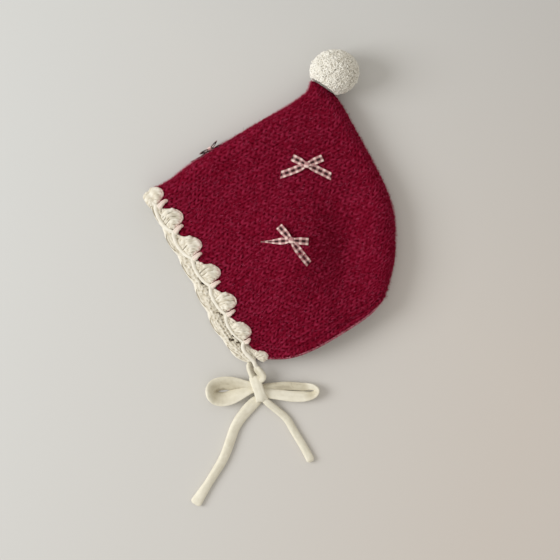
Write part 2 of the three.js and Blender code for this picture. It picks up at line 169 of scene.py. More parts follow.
def curve_through(points, steps=40):
    """A centripetal Catmull-Rom curve through points."""
    points = np.asarray(points, float)
    points = np.concatenate([[2 * points[0] - points[1]], points, [2 * points[-1] - points[-2]]])
    made = []
    share = np.linspace(0, 1, steps, endpoint=False)[:, None]
    for a, b, c, d in zip(points, points[1:], points[2:], points[3:]):
        ab, bc, cd = (np.linalg.norm(q - p) ** 0.5 for p, q in ((a, b), (b, c), (c, d)))
        start = ((b - a) / ab - (c - a) / (ab + bc) + (c - b) / bc) * bc
        end = ((c - b) / bc - (d - b) / (bc + cd) + (d - c) / cd) * bc
        made.append(b + start * share + (3 * (c - b) - 2 * start - end) * share ** 2
                    + (2 * (b - c) + start + end) * share ** 3)
    return np.concatenate(made + [points[-2:-1]])


def even_curve(points, spacing):
    """The same curve at even steps of about that spacing."""
    dense = curve_through(points)
    run = lengths_along(dense)
    at = np.linspace(0, run[-1], max(int(round(run[-1] / spacing)), 2) + 1)
    return between_rows(at, run, dense)


class Outline:
    """A curve by its share of length, carried straight on past its ends."""

    def __init__(self, rows):
        self.points = curve_through([(d * HOOD_DEPTH, a * FACE_LENGTH) for d, a in rows])
        self.run = lengths_along(self.points)
        self.starting = unit(self.points[1] - self.points[0])
        self.ending = unit(self.points[-1] - self.points[-2])

    def __call__(self, share):
        share = np.asarray(share, float)
        inside = np.clip(share, 0, 1)
        place = between_rows(inside * self.run[-1], self.run, self.points)
        onward = np.where((share < 0)[..., None], self.starting, self.ending)
        return place + onward * ((share - inside) * self.run[-1])[..., None]


face, ridge, neck, back = (Outline(rows) for rows in (FACE_ROWS, RIDGE_ROWS, NECK_ROWS, BACK_ROWS))
CHIN, FOREHEAD, NAPE, PEAK = face(0.0), face(1.0), neck(1.0), ridge(1.0)


# The hood's surface

def plan_point(upper, across, up):
    a, u = across[..., None], up[..., None]
    point = (face(up) * (1 - a) + back(up) * a + neck(across) * (1 - u) + ridge(across) * u
             - CHIN * (1 - a) * (1 - u) - NAPE * a * (1 - u) - FOREHEAD * (1 - a) * u - PEAK * a * u)
    if upper:
        return point
    slip = (1 - a) ** 2 * (1 - u * u)
    return point + slip * np.array([-SLIP_OUT, SLIP_UP])


def round_over(distance, radius):
    x = np.clip(distance / radius, 0, 1)
    return np.sqrt(1 - (1 - x) ** 2)


def near_peak(point):
    return smooth(1 - np.linalg.norm(point - PEAK, axis=-1) / PEAK_REACH)


def upper_height(point):
    height = LOFT - FACE_DROP * smooth(1 - point[..., 0] / FACE_REACH)
    for depth, along, long, wide, turn, rise in RELIEF_ROWS:
        dx, dy = point[..., 0] - depth * HOOD_DEPTH, point[..., 1] - along * FACE_LENGTH
        lengthways, sideways = turned(dx, dy, -math.radians(turn))
        lengthways, sideways = lengthways / (long * FACE_LENGTH), sideways / (wide * FACE_LENGTH)
        height = height + rise * LOFT * np.exp(-lengthways ** 2 - sideways ** 2)
    return height


def lower_height(point, across, depth):
    shells = SHELL_RISE * smooth(1.5 - across * depth / SHELL_LENGTH)
    return np.maximum(shells, PEAK_LIFT * near_peak(point))


def knit_point(upper, across, up, inward):
    """A point of the knit, inward from its outer face; a negative inward is off it."""
    across, up, inward = np.broadcast_arrays(*(np.asarray(v, float) for v in (across, up, inward)))
    depth = np.linalg.norm(face(up) - back(up), axis=-1)
    height = np.linalg.norm(neck(across) - ridge(across), axis=-1)
    point = plan_point(upper, across * (1 - inward / depth), up * (1 - inward / height))
    radius = (FOLD_RADIUS if upper else UNDER_RADIUS) - inward
    roundness = round_over((1 - across) * (depth - inward), radius)
    roundness = roundness * round_over((1 - up) * (height - inward), radius)
    middle = FOLD_HEIGHT + (PEAK_HEIGHT - FOLD_HEIGHT) * near_peak(point)
    level = upper_height(point) - inward if upper else lower_height(point, across, depth) + inward
    return np.concatenate([point, (middle + (level - middle) * roundness)[..., None]], -1)


def to_object(points):
    """From the hood's own place to the whole object's frame."""
    x, y = turned(points[..., 0] - HOOD_DEPTH / 2, points[..., 1], LAY_ANGLE)
    return np.stack([x, y, points[..., 2]], -1)


CHIN_CORNER = to_object(np.append(CHIN, 0.0))


# Noise and meshes

class Noise:
    """Smooth noise from -1 to 1 over two coordinates."""

    def __init__(self, size=64):
        self.values = rng.uniform(-1, 1, (size, size))

    def __call__(self, x, y):
        size = len(self.values)
        i, j = np.floor(x).astype(int), np.floor(y).astype(int)
        fx, fy = smooth(x - i), smooth(y - j)
        v = self.values
        low = v[i % size, j % size] * (1 - fx) + v[(i + 1) % size, j % size] * fx
        high = v[i % size, (j + 1) % size] * (1 - fx) + v[(i + 1) % size, (j + 1) % size] * fx
        return low * (1 - fy) + high * fy


tie_noise, wander_a, wander_b, brushed, lumps = (Noise() for _ in range(5))
leg_values = rng.uniform(-1, 1, (4, 61, 67, 2))
crochet_noise, pompom_noise = Noise(), Noise()


class Piece:
    """Gathers grids of points into one mesh. A tone, blush or uv may be one value or an array.
    The blush is a pink tint on the edging, and painted glow on the lit fibres at the knit's rims.
    """

    def __init__(self):
        self.points, self.faces, self.uvs, self.tones, self.blushes, self.count = [], [], [], [], [], 0

    def add(self, points, faces, uv, tone, blush):
        """Adds points in rows, and faces that count them from 0."""
        n, m = points.shape[:2]
        self.points.append(points.reshape(-1, 3))
        self.faces.append(self.count + faces)
        self.uvs.append(np.broadcast_to(uv, (n, m, 2)).reshape(-1, 2))
        self.tones.append(np.broadcast_to(tone, (n, m)).reshape(-1))
        self.blushes.append(np.broadcast_to(blush, (n, m)).reshape(-1))
        self.count += n * m

    def grid(self, points, uv=0.0, tone=0.5, blush=0.0, round_first=False, round_second=False, flip=False):
        ids = np.arange(points.shape[0] * points.shape[1]).reshape(points.shape[:2])
        if round_first:
            ids = np.concatenate([ids, ids[:1]])
        if round_second:
            ids = np.concatenate([ids, ids[:, :1]], 1)
        quads = np.stack([ids[:-1, :-1], ids[1:, :-1], ids[1:, 1:], ids[:-1, 1:]], -1).reshape(-1, 4)
        self.add(points, quads[:, ::-1] if flip else quads, uv, tone, blush)

    def tube(self, rings, tone=0.5, blush=0.0):
        self.grid(rings, tone=tone, blush=blush, round_second=True)

    def slab(self, top, bottom, uv=0.0, tone=0.5, flip=False):
        """A closed sheet between two grids of points."""
        tone = np.broadcast_to(tone, top.shape[:2])
        uv = np.broadcast_to(uv, top.shape[:2] + (2,))
        self.grid(top, uv, tone, flip=flip)
        self.grid(bottom, uv, tone, flip=not flip)
        every = slice(None)
        edges = ((every, 0), False), ((every, -1), True), ((0, every), True), ((-1, every), False)
        for edge, turns_back in edges:
            strip = [np.stack([a[edge], b[edge]], 1) for a, b in ((top, bottom), (uv, uv), (tone, tone))]
            self.grid(*strip, flip=turns_back == flip)

    def quads(self, corners, tone, blush=0.0):
        """Loose quads: corners is (count, 4, 3), and an array of tones or of blush-and-glow values has one a
        quad.
        """
        faces = np.arange(4 * len(corners)).reshape(-1, 4)
        self.add(corners, faces, 0.0, np.asarray(tone)[..., None], np.asarray(blush)[..., None])

    def move(self, place, least):
        """Moves every point by that function, and lifts those that end up too low."""
        for points in self.points:
            points[:] = no_lower(place(points), least)

    def make(self, name, material):
        mesh = bpy.data.meshes.new(name)
        mesh.from_pydata((np.concatenate(self.points) * MM).tolist(), [], np.concatenate(self.faces).tolist())
        corners = np.empty(len(mesh.loops), np.int32)
        mesh.loops.foreach_get("vertex_index", corners)
        layer = mesh.uv_layers.new(name="surface")
        layer.data.foreach_set("uv", np.concatenate(self.uvs)[corners].astype(np.float32).reshape(-1))
        for label, values in (("tone", self.tones), ("blush", self.blushes)):
            attribute = mesh.attributes.new(label, "FLOAT", "POINT")
            attribute.data.foreach_set("value", np.concatenate(values).astype(np.float32))
        mesh.polygons.foreach_set("use_smooth", np.ones(len(mesh.polygons), bool))
        mesh.materials.append(material)
        mesh.update()
        made = add_object(name, mesh)
        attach(made, "root")
        return made


def add_object(name, data):
    made = bpy.data.objects.new(name, data)
    bpy.context.collection.objects.link(made)
    return made


def swept(path, wide, thick, sides, lobes=0, depth=0.0, twist=0.0, phase=0.0, facing=UP):
    """Rings of an oval section along a path, thick along facing and wide across it. It can have lobes."""
    onward = unit(np.gradient(path, axis=0))
    side = unit(np.cross(np.broadcast_to(facing, path.shape), onward))
    out = np.cross(onward, side)
    turn = round_turn(sides)[None, :]
    swell = (1 + depth * np.cos(lobes * turn - twist * lengths_along(path)[:, None] + phase)) / 2
    wide, thick = (np.broadcast_to(size, len(path))[:, None] for size in (wide, thick))
    return (path[:, None] + side[:, None] * (wide * swell * np.cos(turn))[..., None]
            + out[:, None] * (thick * swell * np.sin(turn))[..., None])


def blunt(count, ends):
    """A width along a tube that closes to nearly nothing at its ends."""
    at = np.linspace(0, 1, count)
    near = np.minimum(at, 1 - at) / ends
    return np.maximum(np.sqrt(1 - (1 - np.clip(near, 0, 1)) ** 2), 0.04)


# Materials

class Shading:
    """A material of nodes. A node's input takes a value or the output of another node."""

    def __init__(self, name, roughness, specular=0.2, sheen=0.0):
        self.material = bpy.data.materials.new(name)
        self.material.use_nodes = True
        self.tree = self.material.node_tree
        self.shader = self.tree.nodes["Principled BSDF"]
        self.fill(self.shader, {"Roughness": roughness, "Specular IOR Level": specular, "Sheen Weight": sheen,
                                "Sheen Roughness": 0.5, "Sheen Tint": (1, 1, 1, 1)})

    def fill(self, node, inputs):
        for name, value in inputs.items():
            if isinstance(value, bpy.types.NodeSocket):
                self.tree.links.new(value, node.inputs[name])
            else:
                node.inputs[name].default_value = value
        return node

    def node(self, kind, inputs=None):
        return self.fill(self.tree.nodes.new("ShaderNode" + kind), inputs or {})

    def place(self):
        """Where a point is in its object's own axes."""
        return self.node("TexCoord").outputs["Object"]

    def noise(self, scale, detail=2.0, roughness=0.5):
        return self.node("TexNoise", {"Vector": self.place(), "Scale": scale, "Detail": detail,
                                      "Roughness": roughness}).outputs["Fac"]

    def ramp(self, source, stops):
        ramp = self.node("ValToRGB", {"Fac": source})
        for k, (at, colour) in enumerate(stops):
            stop = ramp.color_ramp.elements[k] if k < 2 else ramp.color_ramp.elements.new(at)
            stop.position = at
            stop.color = (*colour, 1)
        return ramp.outputs["Color"]

    def mix(self, kind, factor, a, b):
        mix = self.node("Mix")
        mix.data_type = "RGBA"
        mix.blend_type = kind
        return self.fill(mix, {"Factor": factor, "A": a, "B": b}).outputs["Result"]

    def attribute(self, label):
        attribute = self.node("Attribute")
        attribute.attribute_name = label
        return attribute.outputs["Fac"]

    def arithmetic(self, operation, *values):
        node = self.node("Math")
        node.operation = operation
        return self.fill(node, dict(enumerate(values))).outputs[0]

    def apart(self, vector):
        """The node that parts a vector into its X, Y and Z."""
        return self.node("SeparateXYZ", {"Vector": vector}).outputs

    def span(self, value, low, high):
        """The value as a share of the way from low to high, from 0 to 1."""
        return self.node("MapRange", {"Value": value, "From Min": low, "From Max": high}).outputs["Result"]

    def bump(self, height, strength, distance):
        bump = self.node("Bump", {"Height": height, "Strength": strength, "Distance": distance})
        self.fill(self.shader, {"Normal": bump.outputs["Normal"]})

    def painted(self, colour):
        self.fill(self.shader, {"Base Color": colour})
        return self.material


def crimson_knit():
    made = Shading("crimson_knit", 0.95, 0.02)
    wool = made.ramp(made.attribute("tone"), [
        (0.0, (0.07, 0.0006, 0.005)), (1.0, (0.34, 0.023, 0.066)), (0.45, (0.182, 0.0036, 0.018))])
    patch = made.ramp(made.noise(900.0, 3.0), [(0.3, (0.9, 0.88, 0.88)), (0.75, (1.1, 1.15, 1.15))])
    made.bump(made.noise(2200.0, 3.0, 0.7), 0.5, 0.0003)
    return made.painted(made.mix("MULTIPLY", 1.0, wool, patch))


def crimson_fuzz():
    made = Shading("crimson_fuzz", 1.0, 0.02)
    wool = made.ramp(made.attribute("tone"), [
        (0.0, (0.16, 0.003, 0.016)), (1.0, (0.44, 0.075, 0.15)), (0.55, (0.24, 0.011, 0.036))])
    # The blush mixes the fibres towards pale pink: painted glow on the lit fibres at the rims.
    return made.painted(made.mix("MIX", made.attribute("blush"), wool, (0.85, 0.5, 0.53, 1)))


def cream_yarn(name, dark, light, grain=900.0):
    made = Shading(name, 0.9, 0.15, 0.1)
    wool = made.ramp(made.attribute("tone"), [
        (0.0, (0.04, 0.025, 0.018)), (1.0, light), (0.12, (0.3, 0.25, 0.18)), (0.3, dark)])
    wool = made.mix("MIX", made.attribute("blush"), wool, (0.8, 0.46, 0.44, 1))
    patch = made.ramp(made.noise(260.0, 3.0), [(0.3, (0.93, 0.92, 0.9)), (0.7, (1.0, 1.0, 1.0))])
    made.bump(made.noise(grain, 3.0, 0.65), 0.5, 0.0004)
    return made.painted(made.mix("MULTIPLY", 1.0, wool, patch))


def checked_ribbon():
    """Woven check: a dark line of squares down the middle, and paler ones at the edges."""
    made = Shading("checked_ribbon", 0.75, 0.15, 0.05)
    place = made.node("UVMap")
    place.uv_map = "surface"
    parts = made.apart(place.outputs["UV"])

    def band(source, half):
        """1 within half of the middle of each unit step, with a soft edge."""
        folded = made.arithmetic("PINGPONG", source, 0.5)
        return made.span(folded, 0.5 - half - CHECK_SOFTNESS, 0.5 - half + CHECK_SOFTNESS)

    across = band(parts["Y"], 0.3)
    edges = made.mix("MIX", across, (0.84, 0.64, 0.59, 1), (0.5, 0.26, 0.26, 1))
    squares = made.mix("MIX", across, (0.34, 0.17, 0.17, 1), (0.035, 0.012, 0.013, 1))
    made.bump(made.noise(2500.0), 0.3, 0.0002)
    return made.painted(made.mix("MIX", band(parts["X"], 0.19), edges, squares))


def floor_material():
    """A pale floor with painted light and shade: painted warmer and darker towards the right and the bottom
    of the camera's view, and painted darker far from the window."""
    made = Shading("pale_floor", 0.7)
    parts = made.apart(made.place())
    slope = made.arithmetic("MULTIPLY_ADD", parts["Y"], -0.35, parts["X"])
    floor_with_painted_shade = made.ramp(made.span(slope, -0.26, 0.26), [
        (0.0, (0.65, 0.655, 0.645)), (1.0, (0.67, 0.62, 0.575)), (0.5, (0.665, 0.65, 0.625))])
    corner = made.arithmetic("ADD", parts["X"], parts["Y"])
    painted_dimming = made.ramp(corner, [(0.05, (1, 1, 1)), (0.4, (0.9, 0.93, 0.96))])
    return made.painted(made.mix("MULTIPLY", 1.0, floor_with_painted_shade, painted_dimming))


# Camera, floor and light

def make_camera():
    data = bpy.data.cameras.new("camera")
    data.angle = 2 * math.atan(PHOTO_WIDTH / 2 / (CAMERA_HEIGHT - HOOD_LEVEL))
    data.clip_start = 0.01
    camera = add_object("camera", data)
    camera.location = (*PHOTO_MIDDLE, CAMERA_HEIGHT)
    bpy.context.scene.camera = camera


def make_floor():
    mesh = bpy.data.meshes.new("floor")
    corners = [(-1, -1), (1, -1), (1, 1), (-1, 1)]
    mesh.from_pydata([(x * FLOOR_REACH, y * FLOOR_REACH, 0) for x, y in corners], [], [(0, 1, 2, 3)])
    mesh.materials.append(floor_material())
    floor = add_object("floor", mesh)


def make_lights():
    data = bpy.data.lights.new("window", "AREA")
    data.shape = "DISK"
    data.size = WINDOW_SIZE
    data.energy = WINDOW_POWER
    data.color = (0.98, 0.99, 1.0)
    window = add_object("window", data)
    window.location = WINDOW_PLACE
    window.rotation_euler = (-window.location.normalized()).to_track_quat("-Z", "Y").to_euler()
    world = bpy.data.worlds.new("room")
    bpy.context.scene.world = world
    world.use_nodes = True
    sky = world.node_tree.nodes["Background"]
    sky.inputs["Color"].default_value = (1.0, 0.965, 0.9, 1)
    sky.inputs["Strength"].default_value = ROOM_LIGHT
    bpy.context.scene.view_settings.view_transform = "Standard"


# The tie: each strap runs from its chin corner into the knot, round its loop, through the knot and down
# its tail. The stretches are the frame's own, from the upper layer's chin corner.
KNOT_PLACE = (-5.6, -26.7)
KNOT_LEAN = math.radians(-70.8)
# The knot's height off the surface, and how far its band goes out and up from its middle.
KNOT_LEVEL = 5.2
KNOT_REACH = 9.6
KNOT_RISE = 2.9
TIE_SIDES = 28
TIE_STEP = 1.2
TIE_END = 3.2
TIE_ROUTES = {
    "strap_left": [(-15.2, -3.9, 4.9), (-14.9, -8, 4.6), (-14.1, -12.2, 4.5), (-12.1, -16.1, 4.9),
                   (-8.7, -21.3, 5.4)],
    "strap_right": [(-7.8, -6.8, 12.6), (-5, -9.3, 11.6), (-2, -12.2, 10.6), (0.1, -15.4, 9.7),
                    (-0.3, -18.4, 8.9), (-3.7, -20, 8.2), (-6.9, -21.1, 7.4)],
    "loop_left": [(-5.6, -24.9, 4.6), (-13.1, -22.9, 4.6), (-23.1, -19.9, 4.5), (-35.5, -18.7, 4.4),
                  (-45.5, -21.7, 4.4), (-49.5, -29.3, 4.4), (-45.7, -37.1, 4.4), (-35.7, -39.7, 4.4),
                  (-23.7, -35.7, 4.5), (-13.1, -29.1, 4.6), (-6.6, -27.1, 4.6)],
    "loop_right": [(-5.6, -27.1, 4.8), (0.9, -28.9, 4.8), (10.9, -30.5, 4.6), (23.9, -32.9, 4.4),
                   (34.9, -34.1, 4.4), (43.5, -32.7, 4.4), (46.3, -28.3, 4.4), (42.3, -24.5, 4.4),
                   (30.9, -23.5, 4.4), (16.9, -22.7, 4.5), (2.9, -24.3, 4.6), (-5.6, -25.7, 4.8)],
    "tail_left": [(-3.7, -33.7, 2.2), (-9.5, -39.1, 1.8), (-18, -48.5, 1.7), (-25.4, -59.5, 1.7),
                  (-30, -72.7, 1.7), (-35, -85.9, 1.7), (-44.7, -102.2, 1.7), (-60, -126.2, 1.7)],
    "tail_right": [(-2.3, -34.7, 6.2), (3.7, -39.9, 5.2), (11.5, -46.3, 2.9), (19, -52.9, 1.7),
                   (24.1, -62.1, 1.7), (30, -71.7, 1.7), (35.3, -80.7, 1.7), (39.8, -89.7, 1.7)],
}


# Painted light and shade across each strap: how much lighter its left side is than its middle, by stretch:
# strap, loop and tail.
TIE_PAINTED_SIDE_SHADING = {"left": (-0.3, -0.24, -0.04), "right": (0.34, -0.06, -0.04)}
# Each strap's section, by stretch: share of the stretch's length, width, thickness, lean in degrees, curl,
# shift to the left of the way, lift and tone. The tone is painted light and shade: dark on the shaded
# strands and inner faces, lightest on the turns that face the window.
TIE_FACTS = {
    "left": [
        [(0, 7.0, 3.2, -30, -0.4, 2.2, 0, 0.8), (0.3, 10.4, 3.2, -40, -0.65, 3.4, 0.4, 0.62),
         (0.75, 9.6, 3.2, -42, -0.65, 2.8, 0.4, 0.62), (1, 4.5, 2.8, -20, 0, 0.5, 0, 0.75)],
        [(0, 4.5, 2.8, 0, 0, 0, 0, 0.7), (0.1, 9.0, 2.3, -28, 0, 2.0, -0.3, 0.62),
         (0.22, 13.8, 2.4, -30, -0.2, 3.5, -0.6, 0.37), (0.42, 14.2, 2.6, -36, -0.3, 3.5, -0.4, 0.4),
         (0.51, 12.8, 3.6, -60, -0.4, 2.0, 0.3, 0.8), (0.6, 14.2, 2.6, -38, -0.3, 3.5, -0.4, 0.5),
         (0.78, 13.6, 2.4, -30, -0.1, 3.4, -0.6, 0.72), (0.92, 9.0, 2.4, -20, 0, 1.7, -0.3, 0.75),
         (1, 4.5, 2.8, 0, 0, 0, 0, 0.7)],
        [(0, 5.5, 3.0, 0, 0, 0, 0, 0.8), (0.05, 9.5, 4.0, -4, -0.2, 0, 0.5, 0.8),
         (0.12, 10.4, 4.8, -8, -0.35, 0, 0.8, 0.82), (0.32, 8.8, 5.2, -8, -0.35, 0, 0.9, 0.86),
         (0.55, 8.3, 5.2, -8, -0.35, 0, 0.9, 0.86), (0.8, 7.4, 5.0, -8, -0.3, 0, 0.8, 0.87),
         (0.92, 9.0, 4.8, -5, -0.1, 0, 0.7, 0.92), (1, 10.4, 4.6, 0, 0, 0, 0.7, 0.95)]],
    "right": [
        [(0, 5.0, 3.4, 12, 0.3, -0.5, 0, 0.8), (0.25, 7.6, 3.6, 34, 0.6, -2.0, -0.6, 0.6),
         (0.5, 7.4, 3.8, 32, 0.6, -1.8, -0.4, 0.62), (0.66, 6.0, 4.3, 10, 0.2, -0.4, 0, 0.8),
         (0.82, 4.8, 3.4, 0, 0, 0, 0, 0.75), (1, 4.0, 3.0, 0, 0, 0, 0, 0.7)],
        [(0, 4.5, 2.8, 0, 0, -1.0, 0, 0.9), (0.1, 8.4, 2.8, -8, 0, -1.8, -0.4, 1),
         (0.28, 9.4, 2.8, -8, 0, -0.7, -0.5, 1), (0.36, 9.2, 2.7, -14, 0, 0.4, -0.5, 0.95),
         (0.42, 8.2, 2.4, -36, 0, 0.7, -0.7, 0.42), (0.48, 8.0, 2.4, -58, 0, 0.6, 0, 0.5),
         (0.54, 7.8, 3.2, -58, 0, 0.6, 0.5, 1), (0.585, 8.0, 3.0, -44, 0, 1.2, 0.2, 1),
         (0.63, 8.0, 2.4, -28, 0, 1.8, -0.6, 0.32), (0.76, 7.8, 2.3, -14, 0, 1.9, -1.2, 0.27),
         (0.92, 7.0, 2.3, -8, 0, 1.5, -0.8, 0.27), (1, 4.5, 2.6, 0, 0, 0.5, 0, 0.4)],
        [(0, 4.5, 2.8, 0, 0, 0, 0, 0.8), (0.1, 6.2, 4.2, 0, -0.2, 0, 0.3, 0.85),
         (0.5, 6.7, 4.9, -6, -0.3, 0, 0.8, 0.87), (0.9, 7.0, 4.7, -4, -0.2, 0, 0.7, 0.97),
         (1, 7.2, 4.6, 0, 0, 0, 0.7, 1)]],
}


def eased(path, reach):
    """The same path with its turns eased over that many steps. Its ends stay where they are."""
    pad = 3 * reach
    weights = np.exp(-(np.arange(-pad, pad + 1) / reach) ** 2 / 2)
    before = 2 * path[0] - path[pad:0:-1]
    after = 2 * path[-1] - path[-2:-pad - 2:-1]
    whole = np.concatenate([before, path, after])
    return np.stack([np.convolve(whole[:, k], weights / weights.sum(), "valid") for k in range(3)], -1)


def section_rings(path, wide, thick, lean, curl):
    """Rings of a knitted strap. lean turns the section about the path from lying flat, in radians: its
    side to the left of the way goes up. curl makes that side thicker."""
    onward = unit(np.gradient(path, axis=0))
    level = unit(np.cross(UP, onward))
    upward = np.cross(onward, level)
    c, s = np.cos(lean)[:, None], np.sin(lean)[:, None]
    side, out = level * c + upward * s, upward * c - level * s
    turn = round_turn(TIE_SIDES)[None, :]
    x = np.sign(np.cos(turn)) * np.abs(np.cos(turn)) ** 0.8 * wide[:, None] / 2
    z = np.sin(turn) * thick[:, None] / 2 * (1 + curl[:, None] * np.cos(turn))
    return path[:, None] + side[:, None] * x[..., None] + out[:, None] * z[..., None]


def tie_strap(name, side):
    """One strap of the tie, left or right, and its middle line in metres."""
    stretches = [np.array(TIE_ROUTES[part + "_" + side], float) for part in ("strap", "loop", "tail")]
    route = np.concatenate(stretches) + CHIN_CORNER
    path = even_curve(route, TIE_STEP)
    run = lengths_along(path)
    at_route = lengths_along(curve_through(route, 40))[::40]
    marks = np.cumsum([0] + [len(stretch) for stretch in stretches])
    spans = [(at_route[mark], at_route[onward - 1]) for mark, onward in zip(marks, marks[1:])]
    rows = np.array([(first + (last - first) * share, *section)
                     for (first, last), stretch_facts in zip(spans, TIE_FACTS[side])
                     for share, *section in stretch_facts])
    wide, thick, lean, curl, shift, lift, tone = between_rows(run, rows[:, 0], rows[:, 1:]).T
    # Painted light and shade across the strap's width, by stretch.
    slope = np.interp(run, np.ravel(spans), np.repeat(TIE_PAINTED_SIDE_SHADING[side], 2))
    path = eased(path, 2)
    path = path + unit(np.cross(UP, unit(np.gradient(path, axis=0)))) * shift[:, None]
    path[:, 2] += lift
    path = eased(path, 2)
    ends = np.clip(np.minimum(run, run[-1] - run) / TIE_END, 0, 1)
    closing = np.maximum(np.sqrt(1 - (1 - ends) ** 2), 0.05)
    rings = section_rings(path, wide * (0.5 + 0.5 * closing), thick * closing, np.radians(lean), curl)
    along, left = run[:, None], np.cos(round_turn(TIE_SIDES))[None, :]
    rings[..., 2] += 0.12 * tie_noise(along / 2.2, 3.0 * left) * closing[:, None]
    streaks = 0.13 * tie_noise(along / 13.0, 3.4 * left + 7) + 0.07 * tie_noise(along / 1.3, 5.0 * left)
    piece = Piece()
    # The tone is the facts' painted tone plus the painted side shading, with random streaks.
    piece.tube(no_lower(rings, 0.15), np.clip(tone[:, None] + slope[:, None] * left + streaks, 0.24, 1))
    return piece.make(name, straps), path * MM


def tie_knot():
    """The wrap of the bow: a thick band round the strands, leaning as the knot does."""
    lean = heading(KNOT_LEAN)
    across = np.cross(UP, lean)
    middle = np.array([*KNOT_PLACE, KNOT_LEVEL]) + CHIN_CORNER
    # The band's middle line runs over the top, lengthways, and back underneath.
    turn = round_turn(44)
    rise = np.sign(np.sin(turn)) * np.abs(np.sin(turn)) ** 0.8
    ring = middle + lean * (np.cos(turn) * KNOT_REACH)[:, None] + UP * (rise * KNOT_RISE)[:, None]
    outward = unit(lean * (np.cos(turn) / KNOT_REACH)[:, None] + UP * (np.sin(turn) / KNOT_RISE)[:, None])
    aside, out = np.cos(round_turn(16))[None, :], np.sin(round_turn(16))[None, :]
    wide = 4.9 + 0.4 * np.cos(2 * turn + 0.7) + 0.35 * np.cos(turn)
    folds = np.cos(2.4 * math.pi * aside + 0.8 * np.sin(2 * turn)[:, None])
    z = out * 2.7 + 0.5 * folds + 0.4 * tie_noise(turn[:, None] * 1.6, 2 * aside)
    points = ring[:, None] + across * (aside * wide[:, None])[..., None] + outward[:, None] * z[..., None]
    points = no_lower(points, 0.15)
    piece = Piece()
    # The tone follows the folds: painted shade in their hollows and painted light on their crests.
    piece.grid(points, tone=0.92 + 0.12 * folds + 0.08 * tie_noise(points[..., 0] / 3, points[..., 1] / 3),
               round_first=True, round_second=True)
    # The strands inside it.
    core = even_curve([middle + lean * at for at in (-9.0, -4, 0, 4, 9.0)], TIE_STEP)
    closing = blunt(len(core), 0.3)
    piece.tube(swept(core, closing * 8.4, closing * 6.6, 12))
    return piece.make("knot_of_the_tie", straps)


def make_tie():
    knot = tie_knot()
    left, left_path = tie_strap("tie_left", "left")
    right, right_path = tie_strap("tie_right", "right")
    for strap, path, pieces, nodes in (
            (left, left_path, [knot], ("tie_strap_left", "tie_loop_left", "tie_tail_left")),
            (right, right_path, [], ("tie_strap_right", "tie_loop_right", "tie_tail_right"))):
        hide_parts(*nodes)
    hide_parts("tie_knot")


# The crown

def knit_relief(sideways, lengthways):
    """Heights in mm of brushed stockinette stitches, from -1 to about 1, at a place across and along
    the wales."""
    x = sideways / WALE + 0.16 * wander_a(sideways / 11, lengthways / 13)
    y = lengthways / ROW + 0.2 * wander_b(sideways / 9, lengthways / 12)
    column = np.floor(x).astype(int)
    beside = x - column - 0.5
    leg = (beside > 0).astype(int)
    height = np.zeros_like(x)
    for step in (0, -1):
        row = np.floor(y).astype(int) + step
        turn, lift, shift, swell = leg_values[:, column % 61, row % 67, leg]
        tilt = math.radians(23) + 0.2 * turn
        dx = (np.abs(beside) - 0.25 + 0.05 * shift) * WALE
        dy = (y - row - 0.62 + 0.1 * shift) * ROW
        length = (dy * np.cos(tilt) + dx * np.sin(tilt)) / 3.8
        width = (dx * np.cos(tilt) - dy * np.sin(tilt)) / (1.35 + 0.15 * swell)
        bulge = np.sqrt(np.clip(1 - length ** 2 - width ** 2, 0, 1))
        height = np.maximum(height, bulge * (0.8 + 0.28 * lift))
    groove = np.exp(-((np.abs(beside) - 0.5) / 0.1) ** 2)
    return height - 0.55 - 0.22 * groove + 0.12 * brushed(sideways / 1.1, lengthways / 1.1)


def closing_shares(length, spacing, radius):
    """Shares from 0 to 1 at a spacing, closing up in quarter-circle steps over the last radius."""
    even = max(int(round((length - radius) / spacing)) // 2 * 2, 2)
    turned = max(int(round(radius * 1.45 / spacing)) // 2 * 2, 2)
    flat = np.arange(even) / even * (1 - radius / length)
    angles = np.arange(turned, -1, -1) / turned * math.pi / 2
    return np.concatenate([flat, 1 - radius / length * (1 - np.cos(angles))])


def knit_sheet(upper, across, up, relief):
    """The outer face of one layer with its stitches: its points, where they are across and along the wales,
    the stitches' heights, and the way outward."""
    a, u = np.meshgrid(across, up, indexing="ij")
    base = knit_point(upper, a, u, 0.0)
    normal = unit(np.cross(np.gradient(base, axis=0), np.gradient(base, axis=1))) * (1 if upper else -1)
    lengthways = lengths_along(base)
    from_neck = lengths_along(np.swapaxes(base, 0, 1)).T
    sideways = from_neck[:, -1:] - from_neck
    height = knit_relief(sideways, lengthways)
    to_seam = lengthways[-1:] - lengthways
    quiet = smooth(np.minimum(sideways, to_seam) / 1.2)
    ribs = np.cos((from_neck - 2.8) / HEM_RIB * 2 * math.pi)
    hem = ribs * np.exp(-(from_neck / HEM_REACH) ** 2) * smooth(a * 3)
    seam = np.exp(-((to_seam - 2.2) / 1.4) ** 2)
    swells = lumps(sideways / 21, lengthways / 26)
    rise = (height * relief + 1.2 * hem + 0.3 * seam + 0.8 * swells) * quiet
    return base + normal * rise[..., None], np.stack([sideways, lengthways], -1) / 100, height, normal


def every_fourth(shares):
    """Every fourth share, and the last."""
    kept = shares[::4]
    return np.append(kept, 1.0) if kept[-1] < 1 else kept


